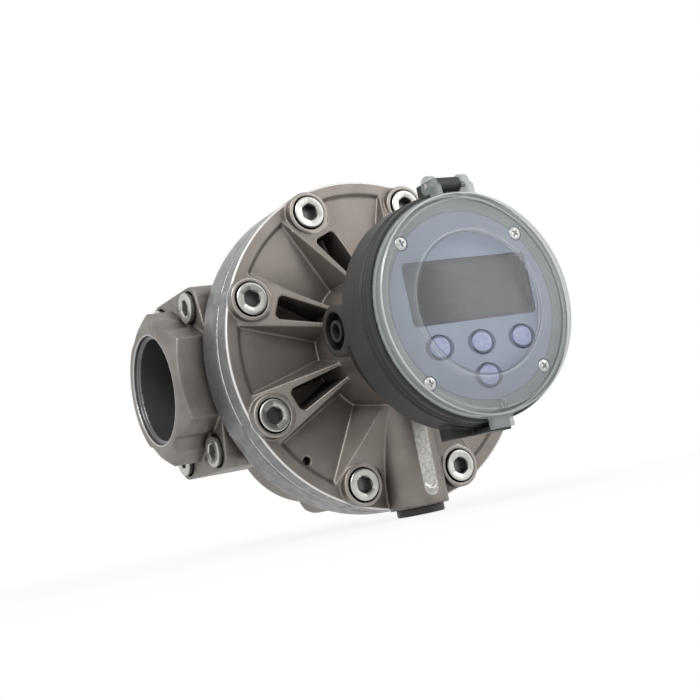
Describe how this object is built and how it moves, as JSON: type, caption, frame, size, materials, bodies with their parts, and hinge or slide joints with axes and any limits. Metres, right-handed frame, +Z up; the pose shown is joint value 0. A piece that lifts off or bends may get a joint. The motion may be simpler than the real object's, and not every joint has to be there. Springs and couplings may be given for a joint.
{
  "type": "oval gear flow meter",
  "caption": "Positive displacement flow meter with two meshing oval rotors, bolted hexagon ports, a ribbed round cap and a hub-mounted electronic register under a hinged clear lid.",
  "frame": {"origin": "on the pipe axis where the inlet thread starts, 3 mm inside the inlet mouth", "axes": "+X along the pipe from the inlet to the outlet, -Y towards the viewer of the display, +Z up"},
  "size_m": [0.211, 0.2118, 0.1861],
  "materials": {
    "body_casting": "bead-blasted stainless casting with machined edges",
    "adaptor_casting": "bead-blasted stainless casting with a machined port face",
    "cap_casting": "bead-blasted stainless casting",
    "stainless_screw": "turned stainless",
    "ground_shaft": "ground",
    "rotor_steel": "hobbed stainless",
    "bush_polymer": "carbon filled",
    "magnet": "nickel plated",
    "seal_rubber": "satin",
    "grommet_rubber": "satin",
    "circuit_laminate": "solder masked laminate",
    "glass_capsule": "clear",
    "black_nylon": "moulded",
    "register_plastic": "moulded, fine grain",
    "battery_sleeve": "shrink sleeve",
    "lcd_face": "grey display",
    "facia_plastic": "moulded",
    "facia_print": "printed film",
    "window_clear": "clear",
    "key_plastic": "moulded",
    "keypad_silicone": "matt",
    "clear_plastic": "clear moulded"
  },
  "bodies": {
    "meter": {"meter_body": "body_casting", "inlet_port_adaptor": "adaptor_casting", "outlet_port_adaptor": "adaptor_casting", "inlet_adaptor_seal": "seal_rubber", "outlet_adaptor_seal": "seal_rubber", "inlet_adaptor_screws": "stainless_screw", "outlet_adaptor_screws": "stainless_screw", "front_cap": "cap_casting", "cap_seal": "seal_rubber", "cap_screws": "stainless_screw", "upper_rotor_shaft": "ground_shaft", "lower_rotor_shaft": "ground_shaft", "thrust_washers": "bush_polymer", "sensor_board": "circuit_laminate", "pickup_sensors": "glass_capsule", "sensor_board_screws": "stainless_screw", "conduit_plug": "black_nylon", "conduit_plug_washer": "seal_rubber", "register_gasket": "seal_rubber", "register_housing": "register_plastic", "register_mount_screws": "stainless_screw", "cable_grommet": "grommet_rubber", "circuit_board": "circuit_laminate", "battery": "battery_sleeve", "battery_clip": "black_nylon", "lcd_module": "lcd_face", "facia_bezel": "facia_plastic", "facia_label": "facia_print", "window_lens": "window_clear", "facia_screws": "stainless_screw", "keypad_mat": "keypad_silicone", "facia_seal": "seal_rubber", "hinge_pin": "ground_shaft"},
    "upper_rotor": {"upper_oval_gear": "rotor_steel", "upper_gear_bush": "bush_polymer", "upper_gear_magnets": "magnet"},
    "lower_rotor": {"lower_oval_gear": "rotor_steel", "lower_gear_bush": "bush_polymer", "lower_gear_magnets": "magnet"},
    "lid": {"clear_lid": "clear_plastic"},
    "left_key": {"left_button": "key_plastic"},
    "middle_key": {"middle_button": "key_plastic"},
    "right_key": {"right_button": "key_plastic"},
    "lower_key": {"lower_button": "key_plastic"}
  },
  "joints": [
    {"name": "upper_rotor_spin", "type": "hinge", "parent": "meter", "child": "upper_rotor", "pos_m": [0.1025, -0.017, 0.03035], "axis": [0, -1, 0], "continuous": true},
    {"name": "lower_rotor_spin", "type": "hinge", "parent": "meter", "child": "lower_rotor", "pos_m": [0.1025, -0.017, -0.03035], "axis": [0, -1, 0], "continuous": true},
    {"name": "lid_hinge", "type": "hinge", "parent": "meter", "child": "lid", "pos_m": [0.1025, -0.163, 0.0605], "axis": [-1, 0, 0], "range_deg": [0, 150]},
    {"name": "left_key_press", "type": "slide", "parent": "meter", "child": "left_key", "axis": [0, 1, 0], "range_m": [0, 0.0005], "stiffness_N_per_m": 1500},
    {"name": "middle_key_press", "type": "slide", "parent": "meter", "child": "middle_key", "axis": [0, 1, 0], "range_m": [0, 0.0005], "stiffness_N_per_m": 1500},
    {"name": "right_key_press", "type": "slide", "parent": "meter", "child": "right_key", "axis": [0, 1, 0], "range_m": [0, 0.0005], "stiffness_N_per_m": 1500},
    {"name": "lower_key_press", "type": "slide", "parent": "meter", "child": "lower_key", "axis": [0, 1, 0], "range_m": [0, 0.0005], "stiffness_N_per_m": 1500}
  ],
  "couplings": [
    {"joint": "lower_rotor_spin", "follows": "upper_rotor_spin", "ratio": -1}
  ]
}
